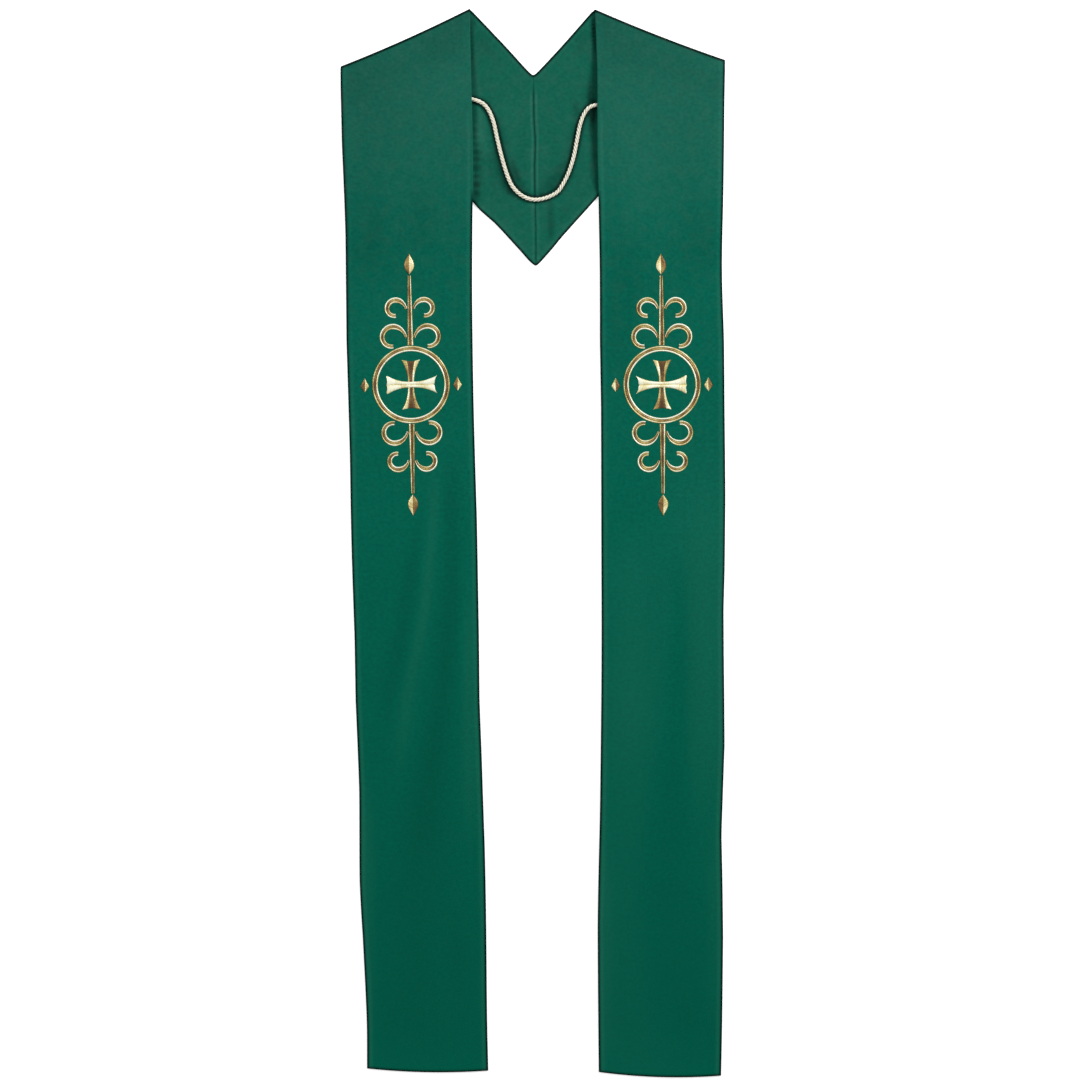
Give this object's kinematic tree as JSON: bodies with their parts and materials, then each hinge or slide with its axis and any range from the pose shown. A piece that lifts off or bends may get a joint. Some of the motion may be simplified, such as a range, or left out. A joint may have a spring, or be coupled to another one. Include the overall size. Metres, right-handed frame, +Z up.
{
  "type": "clerical stole",
  "caption": "Long cloth band for worship, laid flat: two straight fronts folded at the shoulders over a V-shaped back yoke, with a neck cord and raised gold-thread ornament.",
  "frame": {"origin": "centre of the stole's bounding box, on the surface that it lies on", "axes": "+Y up the garment, from the hems to the shoulders; +X towards the front on the viewer's right; +Z up from the surface"},
  "size_m": [0.4262, 1.1859, 0.0092],
  "materials": {
    "green_cloth": "matt deep green woven cloth with a close, even weave",
    "gold_thread": "satin-stitched metallic gold thread with cream highlights",
    "cord": "twisted cream cord with a soft sheen and a few darker marks"
  },
  "bodies": {
    "root": {"left_arm": "green_cloth", "right_arm": "green_cloth", "neck_cord": "cord", "left_ring": "gold_thread", "left_cross": "gold_thread", "left_lozenge_inner": "gold_thread", "left_lozenge_outer": "gold_thread", "left_upper_stem": "gold_thread", "left_upper_bud": "gold_thread", "left_upper_low_scroll_inner": "gold_thread", "left_upper_low_scroll_outer": "gold_thread", "left_upper_high_scroll_inner": "gold_thread", "left_upper_high_scroll_outer": "gold_thread", "left_lower_stem": "gold_thread", "left_lower_bud": "gold_thread", "left_lower_low_scroll_inner": "gold_thread", "left_lower_low_scroll_outer": "gold_thread", "left_lower_high_scroll_inner": "gold_thread", "left_lower_high_scroll_outer": "gold_thread", "right_ring": "gold_thread", "right_cross": "gold_thread", "right_lozenge_inner": "gold_thread", "right_lozenge_outer": "gold_thread", "right_upper_stem": "gold_thread", "right_upper_bud": "gold_thread", "right_upper_low_scroll_inner": "gold_thread", "right_upper_low_scroll_outer": "gold_thread", "right_upper_high_scroll_inner": "gold_thread", "right_upper_high_scroll_outer": "gold_thread", "right_lower_stem": "gold_thread", "right_lower_bud": "gold_thread", "right_lower_low_scroll_inner": "gold_thread", "right_lower_low_scroll_outer": "gold_thread", "right_lower_high_scroll_inner": "gold_thread", "right_lower_high_scroll_outer": "gold_thread"}
  },
  "joints": []
}
